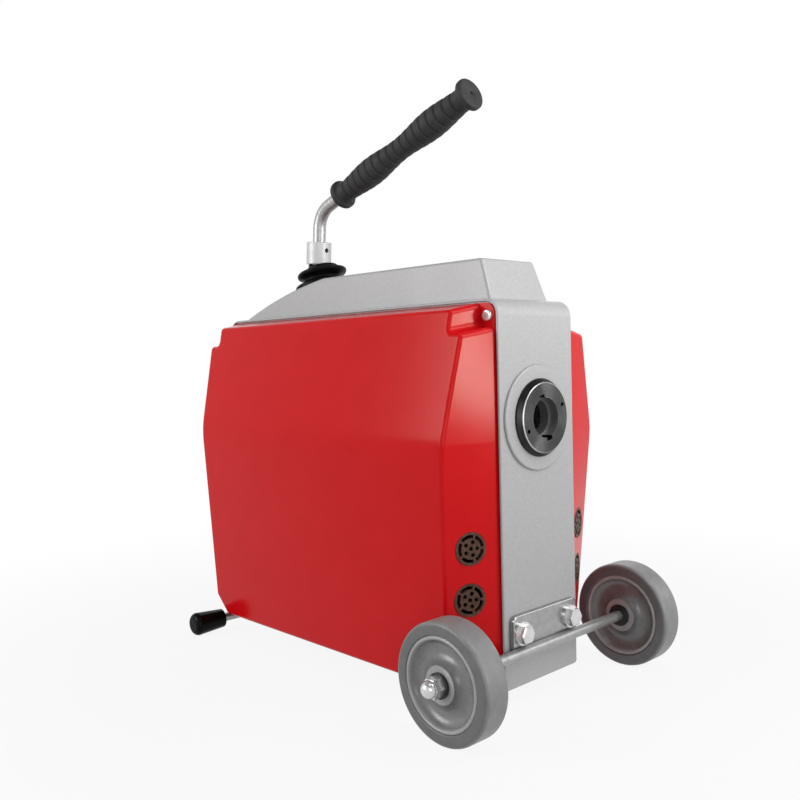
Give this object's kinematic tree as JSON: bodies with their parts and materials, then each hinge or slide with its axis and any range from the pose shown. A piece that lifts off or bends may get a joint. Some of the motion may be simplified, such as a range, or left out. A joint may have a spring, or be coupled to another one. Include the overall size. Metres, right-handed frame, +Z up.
{
  "type": "drain cleaning machine",
  "caption": "Two-wheeled sectional drain cleaning machine with a hollow motor-driven spindle, a jaw clutch worked by a bent top lever, red side covers and a silver cast frame.",
  "frame": {"origin": "middle of the footprint on the floor, under the wheels and the rear foot's caps", "axes": "+X along the cable's line towards the wheel end, +Y across, +Z up"},
  "size_m": [0.6118, 0.398, 0.7125],
  "materials": {
    "silver_paint": "satin silver paint on a casting",
    "red_cover": "red, finely textured moulding",
    "vent_bronze": "dark brown moulding",
    "black_steel": "dark polished steel",
    "bright_zinc": "bright zinc plate",
    "satin_zinc": "satin zinc plate",
    "steel": "machined steel",
    "bearing_steel": "ground bearing steel",
    "pulley_aluminium": "machined aluminium",
    "motor_aluminium": "die-cast aluminium",
    "core_steel": "stacked core plates",
    "black_rubber": "black rubber",
    "grip_rubber": "dark grey rubber",
    "tyre_grey": "grey solid rubber",
    "rim_grey": "grey moulded plastic",
    "cap_black": "glossy black moulding",
    "black_plastic": "black moulding",
    "knob_red": "red moulding",
    "capacitor_grey": "grey can"
  },
  "bodies": {
    "frame": {"housing": "silver_paint", "left_cover": "red_cover", "right_cover": "red_cover", "left_vent_grilles": "vent_bronze", "right_vent_grilles": "vent_bronze", "cover_screws": "bright_zinc", "inlet_collar": "black_steel", "outlet_collar": "black_steel", "bearing_outer_rings": "bearing_steel", "bearing_balls": "bearing_steel", "lever_pivot_pin": "steel", "lever_spring": "steel", "boot": "black_rubber", "axle_bracket": "bright_zinc", "bracket_bolts": "bright_zinc", "bracket_washers": "bright_zinc", "axle": "bright_zinc", "axle_washers": "black_plastic", "axle_nuts": "bright_zinc", "foot_bar": "bright_zinc", "foot_caps": "cap_black", "foot_clamps": "bright_zinc", "foot_clamp_screws": "bright_zinc", "drive_belt": "black_rubber", "motor_case": "motor_aluminium", "motor_front_shield": "motor_aluminium", "motor_rear_shield": "motor_aluminium", "stator_core": "core_steel", "motor_mount": "motor_aluminium", "motor_bolts": "bright_zinc", "capacitor": "capacitor_grey", "capacitor_clip": "bright_zinc", "clip_screws": "bright_zinc", "switch_body": "black_plastic", "cable_gland": "black_plastic"},
    "spindle": {"spindle": "steel", "bearing_inner_rings": "bearing_steel", "driven_pulley": "pulley_aluminium"},
    "closing_sleeve": {"closing_sleeve": "steel"},
    "shift_ring": {"shift_ring": "steel"},
    "jaw_1": {"jaw_1": "steel"},
    "jaw_2": {"jaw_2": "steel"},
    "jaw_3": {"jaw_3": "steel"},
    "lever": {"lever_fork": "steel", "lever_socket": "satin_zinc", "lever_set_screw": "black_steel", "lever_tube": "bright_zinc", "lever_grip": "grip_rubber"},
    "rotor": {"motor_shaft": "steel", "rotor_core": "core_steel", "drive_pulley": "pulley_aluminium", "motor_fan": "black_plastic"},
    "left_wheel": {"left_rim": "rim_grey", "left_tyre": "tyre_grey"},
    "right_wheel": {"right_rim": "rim_grey", "right_tyre": "tyre_grey"},
    "switch_knob": {"switch_knob": "knob_red"}
  },
  "joints": [
    {"name": "lever_press", "type": "hinge", "parent": "frame", "child": "lever", "pos_m": [-0.1576, 0, 0.46166], "axis": [0, 1, 0], "range_deg": [0, 10], "stiffness_Nm_per_rad": 12, "springref_deg": -20.05, "deforming": ["boot"]},
    {"name": "shift_ring_slide", "type": "slide", "parent": "frame", "child": "shift_ring", "axis": [1, 0, 0], "range_m": [-0.0256, 0]},
    {"name": "spindle_spin", "type": "hinge", "parent": "frame", "child": "spindle", "pos_m": [0, 0, 0.316], "axis": [1, 0, 0], "continuous": true},
    {"name": "closing_sleeve_slide", "type": "slide", "parent": "spindle", "child": "closing_sleeve", "axis": [1, 0, 0], "range_m": [-0.0256, 0]},
    {"name": "rotor_spin", "type": "hinge", "parent": "frame", "child": "rotor", "pos_m": [0, 0, 0.114], "axis": [1, 0, 0], "continuous": true},
    {"name": "left_wheel_spin", "type": "hinge", "parent": "frame", "child": "left_wheel", "pos_m": [0.2434, -0.1595, 0.0625], "axis": [0, 1, 0], "continuous": true},
    {"name": "right_wheel_spin", "type": "hinge", "parent": "frame", "child": "right_wheel", "pos_m": [0.2434, 0.1595, 0.0625], "axis": [0, 1, 0], "continuous": true},
    {"name": "switch_turn", "type": "hinge", "parent": "frame", "child": "switch_knob", "pos_m": [-0.2856, 0, 0.1784], "axis": [1, 0, 0], "range_deg": [-60, 60]},
    {"name": "jaw_1_slide", "type": "slide", "parent": "spindle", "child": "jaw_1", "axis": [0, 0, -1], "range_m": [0, 0.0061]},
    {"name": "jaw_2_slide", "type": "slide", "parent": "spindle", "child": "jaw_2", "axis": [0, 0.866, 0.5], "range_m": [0, 0.0061]},
    {"name": "jaw_3_slide", "type": "slide", "parent": "spindle", "child": "jaw_3", "axis": [0, -0.866, 0.5], "range_m": [0, 0.0061]}
  ],
  "couplings": [
    {"joint": "shift_ring_slide", "follows": "lever_press", "m_per_rad": -0.14566},
    {"joint": "closing_sleeve_slide", "follows": "lever_press", "m_per_rad": -0.14566},
    {"joint": "rotor_spin", "follows": "spindle_spin", "ratio": 2.7857},
    {"joint": "jaw_1_slide", "follows": "lever_press", "m_per_rad": 0.034377},
    {"joint": "jaw_2_slide", "follows": "lever_press", "m_per_rad": 0.034377},
    {"joint": "jaw_3_slide", "follows": "lever_press", "m_per_rad": 0.034377}
  ]
}
